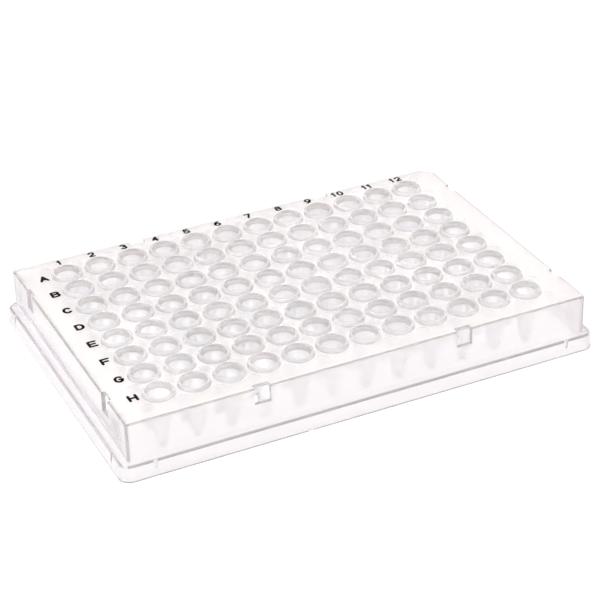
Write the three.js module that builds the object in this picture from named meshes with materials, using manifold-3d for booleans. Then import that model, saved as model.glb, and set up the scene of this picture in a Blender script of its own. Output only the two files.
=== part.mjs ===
// A 96-well plate with conical tubes, a full skirt and a foot flange, moulded in one piece.
// Millimetres, +Z up. The origin is on the surface that the plate stands on, under its centre.
// Columns run along +X and rows along -Y, so well A1 is at the -X, +Y corner.
import * as THREE from 'three';
import { mergeVertices } from 'three/addons/utils/BufferGeometryUtils.js';
import Module from 'manifold-3d';

// The grid of wells.
const COLUMNS = 12;
const ROWS = 8;
const PITCH = 9.0;

// The foot flange. The centres of the outer wells stand these margins inside its base.
const MARGIN_X = 14.38;
const MARGIN_Y = 11.24;
const FLANGE_HEIGHT = 4.3;
const FLANGE_DRAFT = 0.45; // how far each side leans in from its base to the ledge
const FLANGE_CORNER = 3.18;

// The skirt above the flange's ledge.
const HEIGHT = 15.7; // from the base to the rims of the wells
const LEDGE_X = 2.45; // from the base's edge in to the skirt's foot, at the short sides
const LEDGE_Y = 2.1; // the same, at the long sides
const SKIRT_DRAFT = 0.08; // how far each side leans in from the ledge to the deck
const SKIRT_CORNER = 0.8;
const KEY_CORNER = 3.0; // the chamfer that marks the corner of the first row and the last column
const WALL = 1.0; // the skirt, the flange and the ledge
const DECK = 1.0; // the top plate
const INNER_FILLET = 0.3; // the least corner radius inside the walls

// One well and its tube.
const RIM_RISE = 1.05; // the rim stands this far above the deck
const NECK_RADIUS = 2.75; // bore where the long cone of the tube starts
const NECK_DROP = 0.35; // the neck lies this far below the deck's top
const LEAD_IN = 0.55; // the mouth is this much wider than the neck, in radius
const RIM_WALL = 0.5; // the flat ring on top of the collar
const COLLAR_DRAFT = 0.25; // the collar is this much wider at its foot, in radius
const NECK_WALL = 0.6; // the tube's wall inside the deck
const TUBE_WALL = 0.42; // the tube's wall near its tip
const TIP_RADIUS = 1.45; // outside, where the long cone meets the blunt tip
const TIP_HEIGHT = 0.9; // of the blunt tip
const TIP_CLEARANCE = 0.25; // the tips hang this far above the standing surface
const FACETS = 8;

// Windows in the skirt, two in each side, which also notch the deck's edge.
const WINDOW_STEP = 6; // pitches from one window of a side to the other, so both lie between wells
const WINDOW_WIDTH = 4.2;
const LONG_WINDOW = { depth: 4.45, notch: 1.9 }; // below the deck's top, and in from the skirt's face
const SHORT_WINDOW = { depth: 5.0, notch: 1.2 };

// Ribs that stiffen the short sides from inside, near the corners.
const RIB_INSET = 5.35; // from the skirt's corner to the middle of the rib
const RIB_THICKNESS = 0.9;
const RIB_REACH = 1.0;
const RIB_GAP = 0.3; // the ribs end this far above the ledge

// Half-round grooves that taper down the flange's outer face from the ledge, two in each side.
const LONG_GROOVE_INSET = 8.6; // from the base's end to the groove's centre
const SHORT_GROOVE_INSET = 7.6;
const GROOVE_RADIUS = 0.65;
const GROOVE_FOOT = 0.9; // height of the groove's lower end

const OVERCUT = 1.0; // how far a cutting solid runs past the face that it opens
const CORNER_STEPS = 4;

const wasm = await Module();
wasm.setup();

const footX = (COLUMNS - 1) * PITCH + 2 * MARGIN_X;
const footY = (ROWS - 1) * PITCH + 2 * MARGIN_Y;
const skirtX = footX - 2 * LEDGE_X;
const skirtY = footY - 2 * LEDGE_Y;
const ledgeUnder = FLANGE_HEIGHT - WALL;
const deckTop = HEIGHT - RIM_RISE;
const deckUnder = deckTop - DECK;

// Each outline is full size at the height "from", and its sides lean in by the slope above it.
const FLANGE = {
  sizeX: footX,
  sizeY: footY,
  radius: FLANGE_CORNER,
  key: 0,
  from: 0,
  slope: FLANGE_DRAFT / FLANGE_HEIGHT,
};
const SKIRT = {
  sizeX: skirtX,
  sizeY: skirtY,
  radius: SKIRT_CORNER,
  key: KEY_CORNER,
  from: FLANGE_HEIGHT,
  slope: SKIRT_DRAFT / (deckTop - FLANGE_HEIGHT),
};

/** Turns a closed three.js geometry into a solid that can be joined and cut. */
function solid(geometry) {
  geometry.deleteAttribute('normal');
  geometry.deleteAttribute('uv');
  const merged = mergeVertices(geometry, 1e-4);
  const corners = merged.index.array;
  const triVerts = [];
  for (let i = 0; i < corners.length; i += 3) {
    const [a, b, c] = corners.slice(i, i + 3);
    if (a !== b && b !== c && c !== a) triVerts.push(a, b, c);
  }
  return new wasm.Manifold(new wasm.Mesh({
    numProp: 3,
    vertProperties: merged.attributes.position.array,
    triVerts: new Uint32Array(triVerts),
  }));
}

/** Turns a solid back into a three.js geometry. */
function geometryOf(body) {
  const mesh = body.getMesh();
  const geometry = new THREE.BufferGeometry();
  geometry.setAttribute('position', new THREE.BufferAttribute(mesh.vertProperties, 3));
  geometry.setIndex(new THREE.BufferAttribute(mesh.triVerts, 1));
  geometry.computeVertexNormals();
  return geometry;
}

/** A rectangle with round corners about the origin. A key replaces the +X, +Y corner by a chamfer. */
function roundedOutline(x, y, radius, key) {
  const shape = new THREE.Shape();
  shape.absarc(-x + radius, -y + radius, radius, Math.PI, 1.5 * Math.PI);
  shape.absarc(x - radius, -y + radius, radius, 1.5 * Math.PI, 2 * Math.PI);
  if (key > 0) {
    shape.lineTo(x, y - key);
    shape.lineTo(x - key, y);
  } else {
    shape.absarc(x - radius, y - radius, radius, 0, 0.5 * Math.PI);
  }
  shape.absarc(-x + radius, y - radius, radius, 0.5 * Math.PI, Math.PI);
  return shape;
}

/** A block between two heights with the sides of an outline, moved in by the inset. */
function block(outline, low, high, inset = 0) {
  const x = outline.sizeX / 2 - inset;
  const y = outline.sizeY / 2 - inset;
  const radius = Math.max(outline.radius - inset, INNER_FILLET);
  const key = outline.key > 0 ? outline.key - (2 - Math.SQRT2) * inset : 0;
  const geometry = new THREE.ExtrudeGeometry(roundedOutline(x, y, radius, key), {
    depth: high - low,
    bevelEnabled: false,
    curveSegments: CORNER_STEPS,
  });
  geometry.translate(0, 0, low);
  const place = geometry.attributes.position;
  for (let i = 0; i < place.count; i += 1) {
    const lean = outline.slope * (place.getZ(i) - outline.from);
    place.setX(i, place.getX(i) * (1 - lean / x));
    place.setY(i, place.getY(i) * (1 - lean / y));
  }
  return solid(geometry);
}

/** A round solid about the Z axis, from points [radius, z] that run from its lowest to its highest. */
function turned(points) {
  const profile = points.map(([radius, z]) => new THREE.Vector2(radius, z));
  const geometry = new THREE.LatheGeometry(profile, FACETS, Math.PI / FACETS);
  geometry.rotateX(Math.PI / 2);
  return solid(geometry);
}

/** A rectangular solid between two opposite corners, in any order. */
function box(from, to) {
  const size = from.map((value, axis) => Math.abs(to[axis] - value));
  const middle = from.map((value, axis) => (to[axis] + value) / 2);
  return solid(new THREE.BoxGeometry(...size).translate(...middle));
}

/** The skirt, the deck, the ledge and the flange, as one shell that is open below. */
function makeShell() {
  return block(FLANGE, 0, FLANGE_HEIGHT)
    .add(block(SKIRT, ledgeUnder, deckTop))
    .subtract(block(FLANGE, -OVERCUT, ledgeUnder, WALL))
    .subtract(block(SKIRT, ledgeUnder - OVERCUT, deckUnder, WALL));
}

/** The outside of one tube below the deck, and of its collar above it. They meet inside the deck. */
function makeTube() {
  const rim = NECK_RADIUS + LEAD_IN + RIM_WALL;
  const deckMiddle = deckTop - DECK / 2;
  return turned([
    [0, TIP_CLEARANCE],
    [TIP_RADIUS, TIP_CLEARANCE + TIP_HEIGHT],
    [NECK_RADIUS + NECK_WALL, deckMiddle],
    [rim + COLLAR_DRAFT, deckMiddle],
    [rim, HEIGHT],
    [0, HEIGHT],
  ]);
}

/** The space inside one well, from its bottom to past its mouth. */
function makeWell() {
  const mouth = NECK_RADIUS + LEAD_IN;
  return turned([
    [0, TIP_CLEARANCE + TUBE_WALL],
    [TIP_RADIUS - TUBE_WALL, TIP_CLEARANCE + TIP_HEIGHT + TUBE_WALL],
    [NECK_RADIUS, deckTop - NECK_DROP],
    [mouth, HEIGHT],
    [mouth, HEIGHT + OVERCUT],
    [0, HEIGHT + OVERCUT],
  ]);
}

/** The solids that cut the windows. */
function makeWindows() {
  const windows = [];
  for (const side of [-1, 1]) {
    for (const end of [-1, 1]) {
      const left = end * WINDOW_STEP * PITCH / 2 - WINDOW_WIDTH / 2;
      const right = left + WINDOW_WIDTH;
      windows.push(box(
        [left, side * (skirtY / 2 - LONG_WINDOW.notch), deckTop - LONG_WINDOW.depth],
        [right, side * (skirtY / 2 + OVERCUT), deckTop + OVERCUT],
      ));
      windows.push(box(
        [side * (skirtX / 2 - SHORT_WINDOW.notch), left, deckTop - SHORT_WINDOW.depth],
        [side * (skirtX / 2 + OVERCUT), right, deckTop + OVERCUT],
      ));
    }
  }
  return windows;
}

/** The ribs, two on the inner face of each short side. */
function makeRibs() {
  const ribs = [];
  const inner = skirtX / 2 - WALL - RIB_REACH;
  const root = skirtX / 2 - WALL / 2;
  for (const side of [-1, 1]) {
    for (const end of [-1, 1]) {
      const middle = end * (skirtY / 2 - RIB_INSET);
      ribs.push(box(
        [side * inner, middle - RIB_THICKNESS / 2, FLANGE_HEIGHT + RIB_GAP],
        [side * root, middle + RIB_THICKNESS / 2, deckTop - DECK / 2],
      ));
    }
  }
  return ribs;
}

/** The cones that cut the grooves. */
function makeGrooves() {
  const grooves = [];
  const cone = turned([
    [0, GROOVE_FOOT],
    [GROOVE_RADIUS, FLANGE_HEIGHT],
    [GROOVE_RADIUS, FLANGE_HEIGHT + OVERCUT],
    [0, FLANGE_HEIGHT + OVERCUT],
  ]);
  const faceX = footX / 2 - FLANGE_DRAFT;
  const faceY = footY / 2 - FLANGE_DRAFT;
  for (const side of [-1, 1]) {
    for (const end of [-1, 1]) {
      grooves.push(cone.translate([end * (footX / 2 - LONG_GROOVE_INSET), side * faceY, 0]));
      grooves.push(cone.translate([side * faceX, end * (footY / 2 - SHORT_GROOVE_INSET), 0]));
    }
  }
  return grooves;
}

/** One copy of a solid at every well. */
function atEachWell(body) {
  const copies = [];
  for (let row = 0; row < ROWS; row += 1) {
    for (let column = 0; column < COLUMNS; column += 1) {
      const x = (column - (COLUMNS - 1) / 2) * PITCH;
      const y = ((ROWS - 1) / 2 - row) * PITCH;
      copies.push(body.translate([x, y, 0]));
    }
  }
  return copies;
}

/** The whole plate: the shell with its tubes and ribs joined on, and then every opening cut. */
function makePlate() {
  let plate = makeShell();
  for (const piece of [...atEachWell(makeTube()), ...makeRibs()]) plate = plate.add(piece);
  const cuts = [...atEachWell(makeWell()), ...makeWindows(), ...makeGrooves()];
  for (const cut of cuts) plate = plate.subtract(cut);
  return plate;
}

const clearPolypropylene = new THREE.MeshStandardMaterial({
  color: 0xf2eff0,
  roughness: 0.22,
  metalness: 0,
  transparent: true,
  opacity: 0.45,
});

const wellPlate = new THREE.Mesh(geometryOf(makePlate()), clearPolypropylene);
wellPlate.name = 'well_plate';

const object = new THREE.Group();
object.add(wellPlate);

export default object;
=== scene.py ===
"""A clear, skirted 96-well plate with printed row letters and column numbers, on a pale floor.

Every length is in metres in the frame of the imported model: +X along the columns, +Y towards the
first row, +Z up, with the origin on the standing surface under the plate's centre.
"""
import logging
import math
from dataclasses import dataclass, field
from enum import Enum

import bpy
import numpy as np
from mathutils import Euler, Matrix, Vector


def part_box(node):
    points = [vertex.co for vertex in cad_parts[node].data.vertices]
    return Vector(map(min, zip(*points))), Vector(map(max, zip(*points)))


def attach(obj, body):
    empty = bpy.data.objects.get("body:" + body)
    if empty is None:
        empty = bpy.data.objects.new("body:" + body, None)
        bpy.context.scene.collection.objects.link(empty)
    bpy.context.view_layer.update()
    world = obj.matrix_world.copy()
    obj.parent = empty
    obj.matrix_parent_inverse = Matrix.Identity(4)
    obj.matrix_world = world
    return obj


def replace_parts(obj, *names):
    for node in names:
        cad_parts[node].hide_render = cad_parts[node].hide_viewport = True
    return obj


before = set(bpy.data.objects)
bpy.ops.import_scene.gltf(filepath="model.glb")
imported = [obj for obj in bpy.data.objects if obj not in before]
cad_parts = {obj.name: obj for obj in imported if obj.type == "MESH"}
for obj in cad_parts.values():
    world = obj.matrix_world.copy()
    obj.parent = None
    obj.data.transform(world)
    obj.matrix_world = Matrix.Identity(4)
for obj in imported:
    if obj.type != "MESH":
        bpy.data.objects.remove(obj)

LOG = logging.getLogger("well_plate")
MM = 0.001
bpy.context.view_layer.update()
BEND = 0.3  # a softened edge's middle point, as a share of its size from the sharp corner


# --------------------------------------------------------------------------------------------
# Mesh making
# --------------------------------------------------------------------------------------------


class Join(Enum):
    """How one solid changes another."""

    ADD = "UNION"
    CUT = "DIFFERENCE"


def new_mesh_object(name: str, vertices: np.ndarray, faces: list[np.ndarray]) -> bpy.types.Object:
    """Puts vertices and faces into a new mesh object in the scene.

    Args:
        name: The object's and the mesh's name.
        vertices: Positions, shape (n, 3).
        faces: Arrays of vertex numbers, one array for each number of corners, shape (k, corners).

    Returns:
        The object, at the origin, unturned and unscaled.
    """
    mesh = bpy.data.meshes.new(name)
    rows = [row for group in faces for row in group.tolist()]
    mesh.from_pydata(vertices.tolist(), [], rows)
    mesh.validate()
    obj = bpy.data.objects.new(name, mesh)
    bpy.context.scene.collection.objects.link(obj)
    return obj


def loft(name: str, rings: np.ndarray) -> bpy.types.Object:
    """Makes a closed solid through a stack of rings.

    Point (i, j) is ring i's point j. Each square between neighbouring rings is one face, the last
    point of a ring meets its first, and the first and the last ring are closed by flat caps.

    Args:
        name: The object's name.
        rings: Positions, shape (levels, points, 3), anticlockwise seen from the far end.

    Returns:
        The solid.
    """
    levels, points, _ = rings.shape
    number = np.arange(levels * points).reshape(levels, points)
    after = np.roll(number, -1, axis=1)
    sides = np.stack([number[:-1], after[:-1], after[1:], number[1:]], axis=-1).reshape(-1, 4)
    caps = np.stack([number[0, ::-1], number[-1]])
    return new_mesh_object(name, rings.reshape(-1, 3), [sides, caps])


def turned(name: str, profile: np.ndarray, centres: np.ndarray, segments: int) -> bpy.types.Object:
    """Makes one copy of a round solid at each centre.

    Point (c, i, j) is centre c plus the profile's radius i at the angle 2 pi (j + 1/2) / segments,
    at the profile's height i. The profile starts and ends on the axis, so both ends are closed by
    a fan about one point.

    Args:
        name: The object's name.
        profile: Radius and height pairs from the lowest point to the highest, shape (levels, 2).
        centres: The axes' X and Y, shape (copies, 2).
        segments: Points round each ring.

    Returns:
        One object that holds every copy.
    """
    rings = profile[1:-1]
    copies, levels = len(centres), len(rings)
    angle = 2 * np.pi * (np.arange(segments) + 0.5) / segments
    points = np.empty((copies, levels, segments, 3))
    points[..., 0] = centres[:, 0, None, None] + rings[None, :, 0, None] * np.cos(angle)
    points[..., 1] = centres[:, 1, None, None] + rings[None, :, 0, None] * np.sin(angle)
    points[..., 2] = rings[None, :, 1, None]
    poles = np.empty((copies, 2, 3))
    poles[:, :, :2] = centres[:, None, :]
    poles[:, :, 2] = profile[[0, -1], 1]

    number = np.arange(copies * levels * segments).reshape(copies, levels, segments)
    after = np.roll(number, -1, axis=2)
    sides = np.stack([number[:, :-1], after[:, :-1], after[:, 1:], number[:, 1:]], axis=-1)
    pole = number.size + np.arange(copies * 2).reshape(copies, 2)
    low = np.broadcast_to(pole[:, :1], (copies, segments))
    high = np.broadcast_to(pole[:, 1:], (copies, segments))
    fans = np.concatenate([
        np.stack([after[:, 0], number[:, 0], low], axis=-1),
        np.stack([number[:, -1], after[:, -1], high], axis=-1),
    ])
    vertices = np.concatenate([points.reshape(-1, 3), poles.reshape(-1, 3)])
    return new_mesh_object(name, vertices, [sides.reshape(-1, 4), fans.reshape(-1, 3)])


def combine(target: bpy.types.Object, other: bpy.types.Object, how: Join) -> None:
    """Joins another solid to the target, or cuts it away, and removes the other solid.

    Args:
        target: The solid that is changed.
        other: The solid that is joined or cut away.
        how: Which of the two.
    """
    modifier = target.modifiers.new(how.name, "BOOLEAN")
    modifier.operation = how.value
    modifier.solver = "MANIFOLD"
    modifier.object = other
    bpy.context.view_layer.update()
    shaped = target.evaluated_get(bpy.context.evaluated_depsgraph_get())
    mesh = bpy.data.meshes.new_from_object(shaped)
    target.modifiers.clear()
    old = target.data
    target.data = mesh
    mesh.name = old.name
    bpy.data.meshes.remove(old)
    bpy.data.meshes.remove(other.data)


# --------------------------------------------------------------------------------------------
# Sizes
# --------------------------------------------------------------------------------------------


@dataclass(frozen=True)
class WellGrid:
    """Where the wells are: columns along +X, rows along -Y, about the origin."""

    columns: int = 12
    rows: int = 8
    pitch: float = 9.0 * MM

    def lattice(self, columns: int, rows: int) -> np.ndarray:
        """Gives the points of a centred lattice with the grid's pitch.

        Args:
            columns: Points along X.
            rows: Points along Y.

        Returns:
            X and Y of each point, row by row from the first row, shape (columns * rows, 2).
        """
        x = (np.arange(columns) - (columns - 1) / 2) * self.pitch
        y = ((rows - 1) / 2 - np.arange(rows)) * self.pitch
        across, down = np.meshgrid(x, y)
        return np.stack([across.ravel(), down.ravel()], axis=-1)

    def wells(self) -> np.ndarray:
        """Gives the wells' axes, shape (96, 2)."""
        return self.lattice(self.columns, self.rows)

    def offsets(self, places: np.ndarray) -> np.ndarray:
        """Gives each place's offset from the axis of its nearest well.

        The nearest axis is the place's column and row number, rounded and kept within the grid.

        Args:
            places: X and Y of each place, shape (n, 2).

        Returns:
            X and Y of each offset, shape (n, 2).
        """
        last = np.array([self.columns, self.rows]) - 1
        first = last / 2 * self.pitch
        number = np.clip(np.round((places + first) / self.pitch), 0, last)
        return places - (number * self.pitch - first)

    def between(self) -> np.ndarray:
        """Gives the points midway between wells, and half a pitch outside the grid, shape (117, 2)."""
        return self.lattice(self.columns + 1, self.rows + 1)


@dataclass(frozen=True)
class Outline:
    """A rectangle with round corners about the origin, whose +X, +Y corner may be a chamfer."""

    half_x: float
    half_y: float
    radius: float
    key: float = 0.0
    steps: int = 7
    least_radius: float = 0.06 * MM

    def ring(self, inset: float, height: float) -> np.ndarray:
        """Gives the outline moved in by the inset, at a height.

        Each corner's point k is its arc's centre plus the radius at an angle that grows evenly
        from the corner's first side to its second. The key's points lie evenly on its straight
        line, from the +X side to the +Y side.

        Args:
            inset: How far each side moves in.
            height: Z of every point.

        Returns:
            Positions, shape (4 * steps, 3), anticlockwise from above.
        """
        x, y = self.half_x - inset, self.half_y - inset
        radius = max(self.radius - inset, self.least_radius)
        share = np.linspace(0.0, 1.0, self.steps)
        corners = []
        for start, sign_x, sign_y in ((1.0, -1, -1), (1.5, 1, -1), (0.0, 1, 1), (0.5, -1, 1)):
            angle = np.pi * (start + share / 2)
            corner_x = sign_x * (x - radius) + radius * np.cos(angle)
            corner_y = sign_y * (y - radius) + radius * np.sin(angle)
            if self.key and (sign_x, sign_y) == (1, 1):
                key = self.key - (2 - math.sqrt(2)) * inset
                corner_x, corner_y = x - key * share, y - key * (1 - share)
            corners.append(np.stack([corner_x, corner_y], axis=-1))
        flat = np.concatenate(corners)
        return np.column_stack([flat, np.full(len(flat), height)])


@dataclass(frozen=True)
class TubeSizes:
    """One well: its tube below the deck and its collar above it.

    The lead-in is a share: how much of the height from the neck to the rim the mouth's cone takes.
    """

    neck_radius: float = 2.73 * MM
    neck_drop: float = 0.35 * MM
    mouth_radius: float = 3.33 * MM
    rim_radius: float = 3.83 * MM
    foot_radius: float = 4.13 * MM
    deck_radius: float = 3.36 * MM
    rim_fillet: float = 0.13 * MM
    lead_in: float = 0.9
    tip_radius: float = 1.45 * MM
    tip_clearance: float = 0.25 * MM
    wall: float = 0.42 * MM
    segments: int = 40


class Region(Enum):
    """The kinds of surface on the plate, each with its own polish and colour; most of these colours
    are painted shade.
    """

    WALL = 0
    DECK = 1
    THROAT = 2
    BORE = 3
    COLLAR = 4
    TUBE = 5
    LEDGE = 6
    LIP = 7
    EDGE = 8
    CORNER = 9
    JAMB = 10
    SOLE = 11
    POST = 12
    END_LIP = 13
    TIP = 14
    RIM = 15


@dataclass(frozen=True)
class WindowSizes:
    """The windows of one pair of opposite sides."""

    depth: float
    notch: float


# --------------------------------------------------------------------------------------------
# The plate
# --------------------------------------------------------------------------------------------


@dataclass
class Plate:
    """The moulding: deck, tubes with raised rims, skirt, ledge and foot flange."""

    grid: WellGrid
    tube: TubeSizes = field(default_factory=TubeSizes)
    height: float = 15.7 * MM
    rim_rise: float = 1.05 * MM
    deck: float = 1.0 * MM
    wall: float = 1.0 * MM
    flange_height: float = 4.3 * MM
    flange_draft: float = 0.45 * MM
    flange_corner: float = 3.18 * MM
    ledge_x: float = 2.45 * MM
    ledge_y: float = 2.1 * MM
    skirt_draft: float = 0.08 * MM
    skirt_corner: float = 0.8 * MM
    key_corner: float = 3.0 * MM
    edge: float = 0.28 * MM
    sole: float = 0.36 * MM
    deck_edge: float = 0.4 * MM
    lip: float = 0.45 * MM
    window_step: int = 6
    window_width: float = 4.2 * MM
    window_corner: float = 0.4 * MM
    long_window: WindowSizes = WindowSizes(depth=4.45 * MM, notch=1.9 * MM)
    short_window: WindowSizes = WindowSizes(depth=5.0 * MM, notch=1.2 * MM)
    rib_inset: float = 5.35 * MM
    rib_thickness: float = 0.9 * MM
    rib_reach: float = 1.0 * MM
    rib_gap: float = 0.3 * MM
    rib_corner: float = 0.12 * MM
    groove_radius: float = 0.65 * MM
    groove_foot: float = 0.9 * MM
    groove_segments: int = 24
    long_groove_inset: float = 8.6 * MM
    short_groove_inset: float = 7.6 * MM
    dimple_radius: float = 1.5 * MM
    dimple_depth: float = 0.06 * MM
    dimple_segments: int = 24
    post_radius: float = 1.05 * MM
    post_tip_radius: float = 0.8 * MM
    post_length: float = 3.45 * MM
    post_segments: int = 16
    overcut: float = 1.0 * MM
    hair: float = 0.02 * MM
    sharp_angle: float = 32.0

    def __post_init__(self) -> None:
        """Works out the outlines and heights that several features share."""
        low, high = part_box("well_plate")
        self.foot = Outline(high[0], high[1], self.flange_corner)
        self.skirt = Outline(
            high[0] - self.ledge_x, high[1] - self.ledge_y, self.skirt_corner, self.key_corner
        )
        self.deck_top = self.height - self.rim_rise
        self.deck_under = self.deck_top - self.deck
        self.ledge_under = self.flange_height - self.wall

    def skirt_lean(self, height: float) -> float:
        """Gives how far the skirt's sides have leaned in at a height above the ledge."""
        rise = self.deck_top - self.flange_height
        return self.skirt_draft * (height - self.flange_height) / rise

    def flange_lean(self, height: float) -> float:
        """Gives how far the flange's sides have leaned in at a height."""
        return self.flange_draft * height / self.flange_height

    def shell(self) -> bpy.types.Object:
        """Makes the skirt, deck, ledge and flange, open below, with softened edges.

        Both the outside and the room inside are profiles of insets and heights that are carried
        round the foot's or the skirt's outline.

        Returns:
            The shell.
        """
        soft, bit = self.edge, BEND * self.edge
        ledge, top, lip, brow = self.flange_height, self.deck_top, self.lip, self.deck_edge
        outside = [
            self.foot.ring(soft, 0.0),
            self.foot.ring(bit, bit),
            self.foot.ring(self.flange_lean(self.sole), self.sole),
            self.foot.ring(self.flange_lean(ledge - lip), ledge - lip),
            self.foot.ring(self.flange_lean(ledge) + BEND * lip, ledge - BEND * lip),
            self.foot.ring(self.flange_lean(ledge) + lip, ledge),
            self.skirt.ring(-soft, ledge),
            self.skirt.ring(-bit, ledge + bit),
            self.skirt.ring(0.0, ledge + soft),
            self.skirt.ring(self.skirt_lean(top - brow), top - brow),
            self.skirt.ring(self.skirt_draft + BEND * brow, top - BEND * brow),
            self.skirt.ring(self.skirt_draft + brow, top),
        ]
        under, deck = self.ledge_under, self.deck_under
        room = [
            self.foot.ring(self.wall + self.flange_lean(-self.overcut), -self.overcut),
            self.foot.ring(self.wall + self.flange_lean(under - soft), under - soft),
            self.foot.ring(self.wall + self.flange_lean(under) + bit, under - bit),
            self.foot.ring(self.wall + self.flange_lean(under) + soft, under),
            self.skirt.ring(self.wall - soft, under),
            self.skirt.ring(self.wall - bit, under + bit),
            self.skirt.ring(self.wall, under + soft),
            self.skirt.ring(self.wall + self.skirt_draft, deck - soft),
            self.skirt.ring(self.wall + self.skirt_draft + bit, deck - bit),
            self.skirt.ring(self.wall + self.skirt_draft + soft, deck),
        ]
        shell = loft("plate", np.stack(outside))
        combine(shell, loft("room", np.stack(room)), Join.CUT)
        return shell

    def tubes(self) -> bpy.types.Object:
        """Makes the outsides of the tubes and collars, one at each well.

        Returns:
            The tubes as one object of separate solids.
        """
        size = self.tube
        middle = self.deck_top - self.deck / 2
        turn = np.linspace(0.0, np.pi / 2, 6)
        tip = np.column_stack([
            size.tip_radius * np.sin(turn),
            size.tip_clearance + size.tip_radius * (1 - np.cos(turn)),
        ])
        rim, soft, top = size.rim_radius, size.rim_fillet, self.height
        collar = [
            (size.deck_radius, middle),
            (size.foot_radius + (size.foot_radius - rim) * self.deck / 2 / self.rim_rise, middle),
            (rim, top - soft),
            (rim - BEND * soft, top - BEND * soft),
            (rim - soft, top),
            (0.0, top),
        ]
        profile = np.concatenate([tip, collar])
        return turned("tubes", profile, self.grid.wells(), size.segments)

    def bores(self) -> bpy.types.Object:
        """Makes the spaces inside the wells, from their rounded bottoms to past their mouths.

        Returns:
            The spaces as one object of separate solids.
        """
        size = self.tube
        radius = size.tip_radius - size.wall
        turn = np.linspace(0.0, np.pi / 2, 5)
        bottom = np.column_stack([
            radius * np.sin(turn),
            size.tip_clearance + size.wall + radius * (1 - np.cos(turn)),
        ])
        neck = self.deck_top - size.neck_drop
        rise = self.height - neck
        flare = size.mouth_radius - size.neck_radius
        share = np.linspace(0.0, 1.0, 3)
        lip = np.column_stack([
            size.neck_radius + flare * share,
            neck + rise * size.lead_in * share,
        ])
        soft, top = size.rim_fillet, self.height
        mouth = [
            (size.mouth_radius + 0.35 * soft, top - BEND * soft),
            (size.mouth_radius + soft, top + 0.05 * soft),
            (size.mouth_radius + soft, top + self.overcut),
            (0.0, top + self.overcut),
        ]
        profile = np.concatenate([bottom, lip, mouth])
        return turned("bores", profile, self.grid.wells(), size.segments)

    def posts(self) -> bpy.types.Object:
        """Makes the short tapered posts under the deck, one between each four wells.

        Returns:
            The posts as one object of separate solids.
        """
        profile = np.array([
            (0.0, self.deck_under - self.post_length),
            (self.post_tip_radius, self.deck_under - self.post_length),
            (self.post_radius, self.deck_under + self.deck / 2),
            (0.0, self.deck_under + self.deck / 2),
        ])
        return turned("posts", profile, self.grid.between(), self.post_segments)

    def dimples(self) -> bpy.types.Object:
        """Makes the spaces of the shallow round recesses in the deck, one over each post.

        Returns:
            The spaces as one object of separate solids.
        """
        profile = np.array([
            (0.0, self.deck_top - self.dimple_depth),
            (self.dimple_radius - self.dimple_depth / 2, self.deck_top - self.dimple_depth),
            (self.dimple_radius, self.deck_top + self.dimple_depth),
            (0.0, self.deck_top + self.dimple_depth),
        ])
        return turned("dimples", profile, self.grid.between(), self.dimple_segments)

    def prism(self, name: str, outline: Outline, centre: tuple[float, float], low: float,
              high: float) -> bpy.types.Object:
        """Makes an upright prism: an outline's ring at each of two heights, moved to a centre.

        Args:
            name: The object's name.
            outline: The prism's outline.
            centre: X and Y of its middle.
            low: Z of its lower end.
            high: Z of its upper end.

        Returns:
            The prism.
        """
        rings = np.stack([outline.ring(0.0, low), outline.ring(0.0, high)])
        rings[..., :2] += centre
        return loft(name, rings)

    def cut_window(self, shell: bpy.types.Object, size: WindowSizes, face: tuple[float, float],
                   along: float) -> None:
        """Cuts one window, open through the deck's edge.

        Its cutter is an upright prism, from the notch's inner end to past the skirt's face.

        Args:
            shell: The moulding, which is changed.
            size: How deep the window is, and how far in its notch reaches.
            face: X and Y of the middle of the skirt's face, one of which is 0.
            along: The window's middle along that face.
        """
        half = self.window_width / 2
        reach = (size.notch + self.overcut) / 2
        outward = np.sign(face)
        halves = np.where(outward != 0, reach, half)
        centre = np.array(face) + outward * (self.overcut - reach) + (1 - abs(outward)) * along
        outline = Outline(*halves, self.window_corner, steps=4)
        low, high = self.deck_top - size.depth, self.deck_top + self.overcut
        combine(shell, self.prism("window", outline, tuple(centre), low, high), Join.CUT)

    def cut_windows(self, shell: bpy.types.Object) -> None:
        """Cuts two windows in each side.

        Args:
            shell: The moulding, which is changed.
        """
        step = self.window_step * self.grid.pitch / 2
        for side in (-1, 1):
            for end in (-1, 1):
                self.cut_window(shell, self.long_window, (0, side * self.skirt.half_y), end * step)
                self.cut_window(shell, self.short_window, (side * self.skirt.half_x, 0), end * step)

    def add_ribs(self, shell: bpy.types.Object) -> None:
        """Adds two ribs inside each short side, from above the ledge to the deck.

        Args:
            shell: The moulding, which is changed.
        """
        inner = self.skirt.half_x - self.wall - self.rib_reach
        root = self.skirt.half_x - self.wall / 2
        half = (root - inner) / 2
        outline = Outline(half, self.rib_thickness / 2, self.rib_corner, steps=3)
        for side in (-1, 1):
            for end in (-1, 1):
                centre = (side * (inner + half), end * (self.skirt.half_y - self.rib_inset))
                low, high = self.flange_height + self.rib_gap, self.deck_top - self.deck / 2
                combine(shell, self.prism("rib", outline, centre, low, high), Join.ADD)

    def cut_grooves(self, shell: bpy.types.Object) -> None:
        """Cuts the tapered grooves in the flange's outer faces, two in each side.

        Each is a cone that stands on its tip, its axis on the face's upper edge.

        Args:
            shell: The moulding, which is changed.
        """
        face_x = self.foot.half_x - self.flange_draft
        face_y = self.foot.half_y - self.flange_draft
        along_x = self.foot.half_x - self.long_groove_inset
        along_y = self.foot.half_y - self.short_groove_inset
        signs = np.array([(-1, -1), (-1, 1), (1, -1), (1, 1)])
        centres = np.concatenate([signs * (along_x, face_y), signs * (face_x, along_y)])
        profile = np.array([
            (0.0, self.groove_foot),
            (self.groove_radius, self.flange_height + self.hair),
            (self.groove_radius, self.flange_height + self.overcut),
            (0.0, self.flange_height + self.overcut),
        ])
        combine(shell, turned("grooves", profile, centres, self.groove_segments), Join.CUT)

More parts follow.
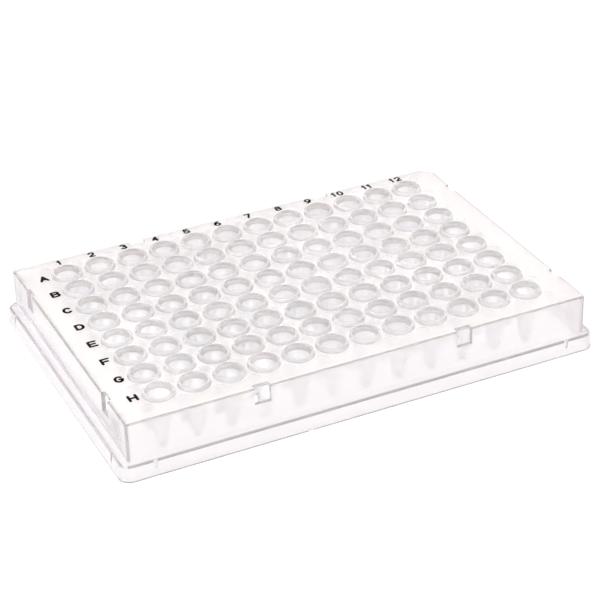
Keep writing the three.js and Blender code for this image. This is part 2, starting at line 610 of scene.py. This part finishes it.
    def build(self) -> bpy.types.Object:
        """Makes the whole moulding as one closed mesh.

        Returns:
            The plate, with smooth round faces and sharp edges.
        """
        plate = self.shell()
        combine(plate, self.posts(), Join.ADD)
        combine(plate, self.tubes(), Join.ADD)
        self.add_ribs(plate)
        combine(plate, self.bores(), Join.CUT)
        combine(plate, self.dimples(), Join.CUT)
        self.cut_windows(plate)
        self.cut_grooves(plate)
        plate.data.shade_smooth()
        plate.data.set_sharp_from_angle(angle=math.radians(self.sharp_angle))
        return plate

    def regions(self, plate: bpy.types.Object) -> np.ndarray:
        """Sorts the plate's faces into kinds of surface by their middles and directions.

        Each kind is a test on every face at once, and a face is of the first kind that it passes.
        A face that passes none is part of a wall.

        Args:
            plate: The finished moulding.

        Returns:
            The number of each face's Region, shape (faces,).
        """
        count = len(plate.data.polygons)
        centre, facing = np.empty(count * 3), np.empty(count * 3)
        plate.data.polygons.foreach_get("center", centre)
        plate.data.polygons.foreach_get("normal", facing)
        centre, facing = centre.reshape(-1, 3), facing.reshape(-1, 3)
        offset = self.grid.offsets(centre[:, :2])
        x, y, z = np.abs(centre[:, 0]), np.abs(centre[:, 1]), centre[:, 2]
        across, along, up = np.abs(facing).T
        half_x, half_y, hair = self.skirt.half_x, self.skirt.half_y, self.hair
        well = np.hypot(offset[:, 0], offset[:, 1]) < self.tube.foot_radius + hair
        inward = (offset * facing[:, :2]).sum(axis=1) < 0
        flat, upright = up > 0.95, up < 0.2
        slanted = ~flat & ~upright
        low, high = self.flange_height, self.deck_top
        beyond = (x > half_x + self.ledge_x / 2) | (y > half_y + self.ledge_y / 2)
        key = centre[:, 0] + centre[:, 1] > half_x + half_y - self.key_corner - self.wall
        side = (x > half_x - self.wall) | (y > half_y - self.wall) | key
        jamb_x = (x > half_x - 0.95 * self.wall) & (across < 0.5) & (y < half_y - 2 * self.wall)
        jamb_y = (y > half_y - 0.95 * self.wall) & (along < 0.5) & (x < half_x - 2 * self.wall)
        notch_x = (x > half_x - 3 * self.wall) & (x < half_x - self.wall / 2)
        notch_y = (y > half_y - 3 * self.wall) & (y < half_y - self.wall / 2)
        in_deck = (z > self.deck_under + hair) & (z < high - hair)
        corner = (x > half_x - self.skirt_corner) & (y > half_y - self.skirt_corner)
        reach = np.array([self.grid.columns, self.grid.rows]) / 2 * self.grid.pitch
        among = (x < reach[0] + 2 * self.post_radius) & (y < reach[1] + 2 * self.post_radius)
        # Each kind gets its own colour: painted shade for throats, rims, tips, ledges, lips, edges,
        # sole, posts, corners and jambs, and the plastic's tint dimmed by painted shade for the deck
        # and walls.
        kinds = [
            (Region.THROAT, well & inward & ~flat & (z > high - self.tube.neck_drop - hair)),
            (Region.RIM, well & (z > self.height - self.tube.rim_fillet)),
            (Region.BORE, well & (facing[:, 2] > 0) & (z < self.deck_under)),
            (Region.BORE, well & inward & ~flat & (z < high - self.tube.neck_drop)),
            (Region.COLLAR, well & (z > high + hair)),
            (Region.TIP, well & (z < self.tube.tip_clearance + self.tube.tip_radius / 2)),
            (Region.TUBE, well & (z < self.deck_under - hair)),
            (Region.DECK, flat & (z > self.deck_under - hair)),
            (Region.LEDGE, flat & (np.abs(z - low) < hair) & ((x > half_x) | (y > half_y))),
            (Region.EDGE, slanted & (z > high - 1.1 * self.deck_edge) & side),
            (Region.END_LIP, slanted & (np.abs(z - low) < self.lip) & beyond & (across > along)),
            (Region.LIP, slanted & (np.abs(z - low) < self.lip) & beyond),
            (Region.SOLE, ~flat & (z < self.sole)),
            (Region.POST, among & (z < self.deck_under) & (z > low)),
            (Region.CORNER, upright & (across > 0.15) & (along > 0.15) & corner & (z > low)),
            (Region.JAMB, (jamb_x | jamb_y) & (z > low + self.wall) & (z < high - hair)),
            (Region.JAMB, upright & in_deck & ~well & (notch_x | notch_y)),
        ]
        return np.select([where for _, where in kinds], [kind.value for kind, _ in kinds],
                         Region.WALL.value)


# --------------------------------------------------------------------------------------------
# Print on the deck
# --------------------------------------------------------------------------------------------


def arc(centre_x: float, centre_y: float, radius_x: float, radius_y: float, start: float,
        end: float) -> np.ndarray:
    """Gives points along an ellipse's arc, its centre plus each radius times cosine and sine.

    Args:
        centre_x: The ellipse's centre, across.
        centre_y: The ellipse's centre, up.
        radius_x: Half the ellipse's width.
        radius_y: Half the ellipse's height.
        start: The first point's angle, in degrees.
        end: The last point's angle, in degrees.

    Returns:
        Positions, shape (13, 2).
    """
    angle = np.radians(np.linspace(start, end, 13))
    return np.column_stack([centre_x + radius_x * np.cos(angle), centre_y + radius_y * np.sin(angle)])


def line(*corners: tuple[float, float]) -> np.ndarray:
    """Gives a stroke of straight parts through the corners."""
    return np.array(corners)


def strokes() -> dict[str, list[np.ndarray]]:
    """Gives each character's strokes, their middle lines drawn in a box one wide and one high.

    Returns:
        The strokes of each letter and figure, each of shape (points, 2).
    """
    return {
        "A": [line((0, 0), (0.5, 1), (1, 0)), line((0.2, 0.32), (0.8, 0.32))],
        "B": [line((0.6, 0.54), (0, 0.54), (0, 1), (0.6, 1)), arc(0.6, 0.77, 0.33, 0.23, 90, -90),
              line((0, 0.54), (0, 0), (0.6, 0)), arc(0.6, 0.27, 0.4, 0.27, 90, -90)],
        "C": [arc(0.5, 0.5, 0.5, 0.5, 42, 318)],
        "D": [line((0.45, 0), (0, 0), (0, 1), (0.45, 1)), arc(0.45, 0.5, 0.55, 0.5, 90, -90)],
        "E": [line((1, 1), (0, 1), (0, 0), (1, 0)), line((0, 0.5), (0.85, 0.5))],
        "F": [line((1, 1), (0, 1), (0, 0)), line((0, 0.48), (0.85, 0.48))],
        "G": [arc(0.5, 0.5, 0.5, 0.5, 42, 320), line((0.88, 0.18), (1, 0.45), (0.58, 0.45))],
        "H": [line((0, 0), (0, 1)), line((1, 0), (1, 1)), line((0, 0.5), (1, 0.5))],
        "0": [arc(0.5, 0.5, 0.5, 0.5, 0, 360)],
        "1": [line((0.1, 0.72), (0.7, 1), (0.7, 0))],
        "2": [arc(0.5, 0.7, 0.46, 0.3, 165, -35), line((0.87, 0.53), (0.02, 0), (1, 0))],
        "3": [arc(0.46, 0.76, 0.42, 0.24, 155, -90), arc(0.46, 0.26, 0.52, 0.26, 90, -155)],
        "4": [line((0.72, 0), (0.72, 1), (0, 0.3), (1, 0.3))],
        "5": [line((0.92, 1), (0.14, 1), (0.06, 0.5)), arc(0.46, 0.31, 0.52, 0.31, 135, -155)],
        "6": [arc(0.5, 0.31, 0.5, 0.31, 0, 360), arc(0.95, 0.31, 0.95, 0.69, 180, 97)],
        "7": [line((0, 1), (1, 1), (0.38, 0))],
        "8": [arc(0.5, 0.76, 0.4, 0.24, 0, 360), arc(0.5, 0.26, 0.5, 0.26, 0, 360)],
        "9": [arc(0.5, 0.69, 0.5, 0.31, 0, 360), arc(0.05, 0.69, 0.95, 0.69, 0, -83)],
    }


@dataclass
class DeckPrint:
    """The row letters and column numbers, in ink on the deck."""

    plate: Plate
    letter_x: float = -55.6 * MM
    letter_height: float = 2.9 * MM
    letter_width: float = 2.5 * MM
    letter_shift: float = 0.8 * MM
    number_y: float = 38.6 * MM
    number_height: float = 2.6 * MM
    number_shift: float = 0.2 * MM
    digit_width: float = 1.95 * MM
    digit_gap: float = 0.35 * MM
    one_width: float = 1.25 * MM
    letter_weight: float = 0.72 * MM
    number_weight: float = 0.6 * MM
    round_steps: int = 10
    film: float = 0.012 * MM

    def word(self, text: str, centre: np.ndarray, width: float, height: float,
             weight: float) -> list[np.ndarray]:
        """Gives the middle lines of a word's strokes on the deck.

        Each character's box is scaled to its width and the height, both less the stroke's weight,
        and the characters stand side by side about the word's middle.

        Args:
            text: The word.
            centre: X and Y of its middle.
            width: A character's width; a figure one is narrower.
            height: The characters' height.
            weight: The strokes' width.

        Returns:
            The strokes, each of shape (points, 2).
        """
        drawn = strokes()
        widths = np.array([self.one_width if mark == "1" else width for mark in text])
        starts = np.cumsum(widths + self.digit_gap) - widths - self.digit_gap
        starts -= (starts[-1] + widths[-1]) / 2
        half = weight / 2
        return [
            centre + (start + half, half - height / 2) + stroke * (wide - weight, height - weight)
            for mark, start, wide in zip(text, starts, widths) for stroke in drawn[mark]
        ]

    def inked(self, name: str, lines: list[np.ndarray], weight: float) -> bpy.types.Object:
        """Makes a film of ink along strokes: a flat bar for each part, a disc at each point.

        Args:
            name: The object's name.
            lines: The strokes' middle lines.
            weight: The strokes' width.

        Returns:
            One mesh object with every stroke.
        """
        start = np.concatenate([stroke[:-1] for stroke in lines])
        end = np.concatenate([stroke[1:] for stroke in lines])
        along = (end - start) / np.linalg.norm(end - start, axis=1, keepdims=True)
        side = np.column_stack([-along[:, 1], along[:, 0]]) * weight / 2
        bars = np.stack([start + side, start - side, end - side, end + side], axis=1)
        angle = np.linspace(0.0, 2 * np.pi, self.round_steps, endpoint=False)
        circle = np.column_stack([np.cos(angle), np.sin(angle)]) * weight / 2
        discs = np.concatenate(lines)[:, None] + circle
        flat = np.concatenate([bars.reshape(-1, 2), discs.reshape(-1, 2)])
        height = np.full(len(flat), self.plate.deck_top + self.film)
        number = np.arange(len(flat))
        split = bars.shape[0] * 4
        faces = [number[:split].reshape(-1, 4), number[split:].reshape(-1, self.round_steps)]
        return new_mesh_object(name, np.column_stack([flat, height]), faces)

    def letters(self) -> bpy.types.Object:
        """Makes the row letters beside the first column.

        Returns:
            One mesh object with every letter.
        """
        rows = self.plate.grid.wells().reshape(self.plate.grid.rows, -1, 2)[:, 0, 1]
        lines = []
        for row, y in enumerate(rows):
            centre = np.array([self.letter_x, y + self.letter_shift])
            lines += self.word(chr(ord("A") + row), centre, self.letter_width, self.letter_height,
                               self.letter_weight)
        return self.inked("row_letters", lines, self.letter_weight)

    def numbers(self) -> bpy.types.Object:
        """Makes the column numbers behind the first row.

        Returns:
            One mesh object with every number.
        """
        lines = []
        for column, x in enumerate(self.plate.grid.wells()[: self.plate.grid.columns, 0]):
            centre = np.array([x + self.number_shift, self.number_y])
            lines += self.word(str(column + 1), centre, self.digit_width, self.number_height,
                               self.number_weight)
        return self.inked("column_numbers", lines, self.number_weight)


# --------------------------------------------------------------------------------------------
# Finishes
# --------------------------------------------------------------------------------------------


@dataclass(frozen=True)
class Surface:
    """How rough one kind of surface is, and its colour: the plastic's tint, or painted shade."""

    roughness: float
    tint_and_painted_shade: tuple[float, float, float]


def plate_surfaces() -> dict[Region, Surface]:
    """Gives the plate's surfaces: a matt deck, polished wells and walls, and edges, lips, corners,
    jambs, sole, tube tips, posts, rims and the wells' throats darkened by painted shade.

    Returns:
        The surface of each region.
    """
    return {
        # Walls and deck: the plastic's faint tint, dimmed by painted shade.
        Region.WALL: Surface(0.03, (0.93, 0.903, 0.915)),
        Region.DECK: Surface(0.4, (0.965, 0.94, 0.925)),
        # Painted shade: the grey band inside each well's mouth.
        Region.THROAT: Surface(0.06, (0.66, 0.64, 0.637)),
        # Bores, collars and tubes: the plastic's own near-white tint.
        Region.BORE: Surface(0.06, (1.0, 1.0, 1.0)),
        Region.COLLAR: Surface(0.12, (1.0, 0.99, 0.985)),
        Region.TUBE: Surface(0.03, (1.0, 0.99, 1.0)),
        # Painted shade: a light one on the ledge, dark lines along the lips, edges, corners, jambs and
        # sole, dark crescents at the tubes' tips, a faint one on the rims and a bluish one on the
        # posts.
        Region.LEDGE: Surface(0.2, (0.9, 0.87, 0.895)),
        Region.LIP: Surface(0.2, (0.4, 0.37, 0.39)),
        Region.END_LIP: Surface(0.2, (0.66, 0.62, 0.66)),
        Region.TIP: Surface(0.03, (0.3, 0.28, 0.32)),
        Region.RIM: Surface(0.12, (0.95, 0.935, 0.93)),
        Region.EDGE: Surface(0.2, (0.54, 0.505, 0.475)),
        Region.CORNER: Surface(0.2, (0.68, 0.65, 0.665)),
        Region.JAMB: Surface(0.15, (0.68, 0.64, 0.65)),
        Region.SOLE: Surface(0.2, (0.3, 0.28, 0.29)),
        Region.POST: Surface(0.2, (0.84, 0.84, 0.9)),
    }


@dataclass(frozen=True)
class ClearPlastic:
    """Clear, slightly milky polypropylene with a fine moulded texture."""

    surfaces: dict[Region, Surface] = field(default_factory=plate_surfaces)
    ior: float = 1.49
    clearness: float = 0.71
    absorbed: tuple[float, float, float] = (5.0, 6.0, 5.4)
    cloud_scale: float = 700.0
    cloud_depth: float = 0.04
    grain_scale: float = 5000.0
    grain_strength: float = 0.02
    grain_depth: float = 0.02 * MM

    def dress(self, plate: bpy.types.Object, regions: np.ndarray) -> None:
        """Puts the plastic on the plate, with each face's polish and colour from its region; most
        colours are painted shade.

        Args:
            plate: The object to dress.
            regions: The number of each face's Region.
        """
        ordered = sorted(Region, key=lambda region: region.value)
        polish = np.array([self.surfaces[region].roughness for region in ordered])
        tint_and_painted_shade = np.array([(*self.surfaces[region].tint_and_painted_shade, 1.0) for region in ordered])
        mesh = plate.data
        mesh.attributes.new("polish", "FLOAT", "FACE").data.foreach_set("value", polish[regions])
        # Each face's colour as a face attribute: the plastic's tint, or painted shade.
        tones = mesh.attributes.new("tint_and_painted_shade", "FLOAT_COLOR", "FACE")
        tones.data.foreach_set("color", tint_and_painted_shade[regions].ravel())
        mesh.materials.clear()
        mesh.materials.append(self.material())

    def material(self) -> bpy.types.Material:
        """Builds the node material.

        Its roughness is the face's polish and a faint cloud, its colour the face's tint and painted
        shade, its grain a very fine bump; light is slowly absorbed inside it.

        Returns:
            The material.
        """
        made = bpy.data.materials.new("clear_polypropylene")
        made.use_nodes = True
        tree = made.node_tree
        shader = tree.nodes["Principled BSDF"]
        shader.inputs["IOR"].default_value = self.ior
        shader.inputs["Transmission Weight"].default_value = self.clearness
        place = tree.nodes.new("ShaderNodeTexCoord")
        # Base colour read from the face attribute: the plastic's tint and painted shade.
        tint_and_painted_shade = tree.nodes.new("ShaderNodeAttribute")
        tint_and_painted_shade.attribute_name = "tint_and_painted_shade"
        tree.links.new(tint_and_painted_shade.outputs["Color"], shader.inputs["Base Color"])
        polish = tree.nodes.new("ShaderNodeAttribute")
        polish.attribute_name = "polish"
        cloud = tree.nodes.new("ShaderNodeTexNoise")
        cloud.inputs["Scale"].default_value = self.cloud_scale
        tree.links.new(place.outputs["Object"], cloud.inputs["Vector"])
        rough = tree.nodes.new("ShaderNodeMath")
        rough.operation = "MULTIPLY_ADD"
        rough.inputs[1].default_value = self.cloud_depth
        tree.links.new(cloud.outputs["Fac"], rough.inputs[0])
        tree.links.new(polish.outputs["Fac"], rough.inputs[2])
        tree.links.new(rough.outputs["Value"], shader.inputs["Roughness"])
        grain = tree.nodes.new("ShaderNodeTexNoise")
        grain.inputs["Scale"].default_value = self.grain_scale
        tree.links.new(place.outputs["Object"], grain.inputs["Vector"])
        bump = tree.nodes.new("ShaderNodeBump")
        bump.inputs["Strength"].default_value = self.grain_strength
        bump.inputs["Distance"].default_value = self.grain_depth
        tree.links.new(grain.outputs["Fac"], bump.inputs["Height"])
        tree.links.new(bump.outputs["Normal"], shader.inputs["Normal"])
        inside = tree.nodes.new("ShaderNodeVolumeAbsorption")
        density = 2 * max(self.absorbed)
        passed = tuple(1 - part / density for part in self.absorbed)
        inside.inputs["Color"].default_value = (*passed, 1.0)
        inside.inputs["Density"].default_value = density
        tree.links.new(inside.outputs["Volume"], tree.nodes["Material Output"].inputs["Volume"])
        return made


@dataclass(frozen=True)
class Ink:
    """Matt black printing ink."""

    dark: tuple[float, float, float] = (0.004, 0.004, 0.004)
    pale: tuple[float, float, float] = (0.012, 0.011, 0.011)
    mottle_scale: float = 2500.0
    roughness: float = 0.7
    specular: float = 0.12

    def material(self) -> bpy.types.Material:
        """Builds the node material, whose black is faintly mottled.

        Returns:
            The material.
        """
        made = bpy.data.materials.new("print_ink")
        made.use_nodes = True
        tree = made.node_tree
        shader = tree.nodes["Principled BSDF"]
        shader.inputs["Roughness"].default_value = self.roughness
        shader.inputs["Specular IOR Level"].default_value = self.specular
        place = tree.nodes.new("ShaderNodeTexCoord")
        mottle = tree.nodes.new("ShaderNodeTexNoise")
        mottle.inputs["Scale"].default_value = self.mottle_scale
        tree.links.new(place.outputs["Object"], mottle.inputs["Vector"])
        mix = tree.nodes.new("ShaderNodeMix")
        mix.data_type = "RGBA"
        mix.inputs["A"].default_value = (*self.dark, 1.0)
        mix.inputs["B"].default_value = (*self.pale, 1.0)
        tree.links.new(mottle.outputs["Fac"], mix.inputs["Factor"])
        tree.links.new(mix.outputs["Result"], shader.inputs["Base Color"])
        return made


# --------------------------------------------------------------------------------------------
# Stage
# --------------------------------------------------------------------------------------------


@dataclass
class Studio:
    """A pale floor, soft white light all round and the camera."""

    floor_size: float = 6.0
    floor_drop: float = 0.05 * MM
    floor_glow: float = 1.06
    horizon: float = 1.45
    zenith: float = 1.22
    camera_place: tuple[float, float, float] = (-0.1774, -0.3934, 0.2627)
    camera_azimuth: float = 24.49
    camera_elevation: float = 30.395
    camera_roll: float = -1.94
    lens: float = 117.51
    sensor: float = 36.0
    clear_bounces: int = 64
    diffuse_bounces: int = 16
    transparent_bounces: int = 32

    def floor(self) -> bpy.types.Object:
        """Lays a wide white floor under the plate, evenly lit so that it shows no shadow.

        Returns:
            The floor.
        """
        half = self.floor_size / 2
        corners = np.array([(-half, -half, 0), (half, -half, 0), (half, half, 0), (-half, half, 0)])
        corners[:, 2] -= self.floor_drop
        floor = new_mesh_object("floor", corners, [np.array([[0, 1, 2, 3]])])
        made = bpy.data.materials.new("floor_white")
        made.use_nodes = True
        shader = made.node_tree.nodes["Principled BSDF"]
        shader.inputs["Base Color"].default_value = (0.0, 0.0, 0.0, 1.0)
        shader.inputs["Roughness"].default_value = 0.9
        shader.inputs["Specular IOR Level"].default_value = 0.0
        shader.inputs["Emission Color"].default_value = (1.0, 1.0, 1.0, 1.0)
        shader.inputs["Emission Strength"].default_value = self.floor_glow
        floor.data.materials.append(made)
        return floor

    def light(self) -> None:
        """Fills the room with soft white light, a little brighter round the sides than above.

        Its strength runs evenly from the horizon's to the zenith's with the direction's height.
        """
        world = bpy.data.worlds.new("room")
        world.use_nodes = True
        sky = world.node_tree.nodes["Background"]
        sky.inputs["Color"].default_value = (1.0, 1.0, 1.0, 1.0)
        tree = world.node_tree
        place = tree.nodes.new("ShaderNodeTexCoord")
        split = tree.nodes.new("ShaderNodeSeparateXYZ")
        rise = tree.nodes.new("ShaderNodeMapRange")
        rise.inputs["To Min"].default_value = self.horizon
        rise.inputs["To Max"].default_value = self.zenith
        tree.links.new(place.outputs["Generated"], split.inputs["Vector"])
        tree.links.new(split.outputs["Z"], rise.inputs["Value"])
        tree.links.new(rise.outputs["Result"], sky.inputs["Strength"])
        bpy.context.scene.world = world

    def camera(self) -> bpy.types.Object:
        """Places the camera in front of the first column's end, looking down across the plate.

        Returns:
            The camera.
        """
        data = bpy.data.cameras.new("camera")
        data.lens = self.lens
        data.sensor_width = self.sensor
        camera = bpy.data.objects.new("camera", data)
        aim = Euler(
            (math.radians(90 - self.camera_elevation), 0.0, math.radians(-self.camera_azimuth))
        ).to_matrix()
        roll = Matrix.Rotation(math.radians(self.camera_roll), 3, "Z")
        camera.matrix_world = Matrix.Translation(self.camera_place) @ (aim @ roll).to_4x4()
        bpy.context.scene.collection.objects.link(camera)
        bpy.context.scene.camera = camera
        return camera

    def set_view(self) -> None:
        """Lets light pass through many clear layers, and keeps white white."""
        scene = bpy.context.scene
        scene.view_settings.view_transform = "Standard"
        scene.cycles.max_bounces = self.clear_bounces
        scene.cycles.transmission_bounces = self.clear_bounces
        scene.cycles.glossy_bounces = self.clear_bounces
        scene.cycles.diffuse_bounces = self.diffuse_bounces
        scene.cycles.transparent_max_bounces = self.transparent_bounces
        scene.cycles.blur_glossy = 0.0
        scene.cycles.sample_clamp_indirect = 0.0


def main() -> None:
    """Builds the plate, its print and the studio."""
    logging.basicConfig(level=logging.INFO, format="%(name)s: %(message)s")
    plate = Plate(WellGrid())
    body = plate.build()
    ClearPlastic().dress(body, plate.regions(body))
    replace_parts(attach(body, "root"), "well_plate")
    LOG.info("%s: %d faces", body.name, len(body.data.polygons))
    printed = DeckPrint(plate)
    ink = Ink().material()
    for label in (printed.letters(), printed.numbers()):
        label.data.materials.append(ink)
        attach(label, "root")
        LOG.info("%s: %d faces", label.name, len(label.data.polygons))
    studio = Studio()
    studio.floor()
    studio.light()
    studio.camera()
    studio.set_view()


if __name__ == "__main__":
    main()
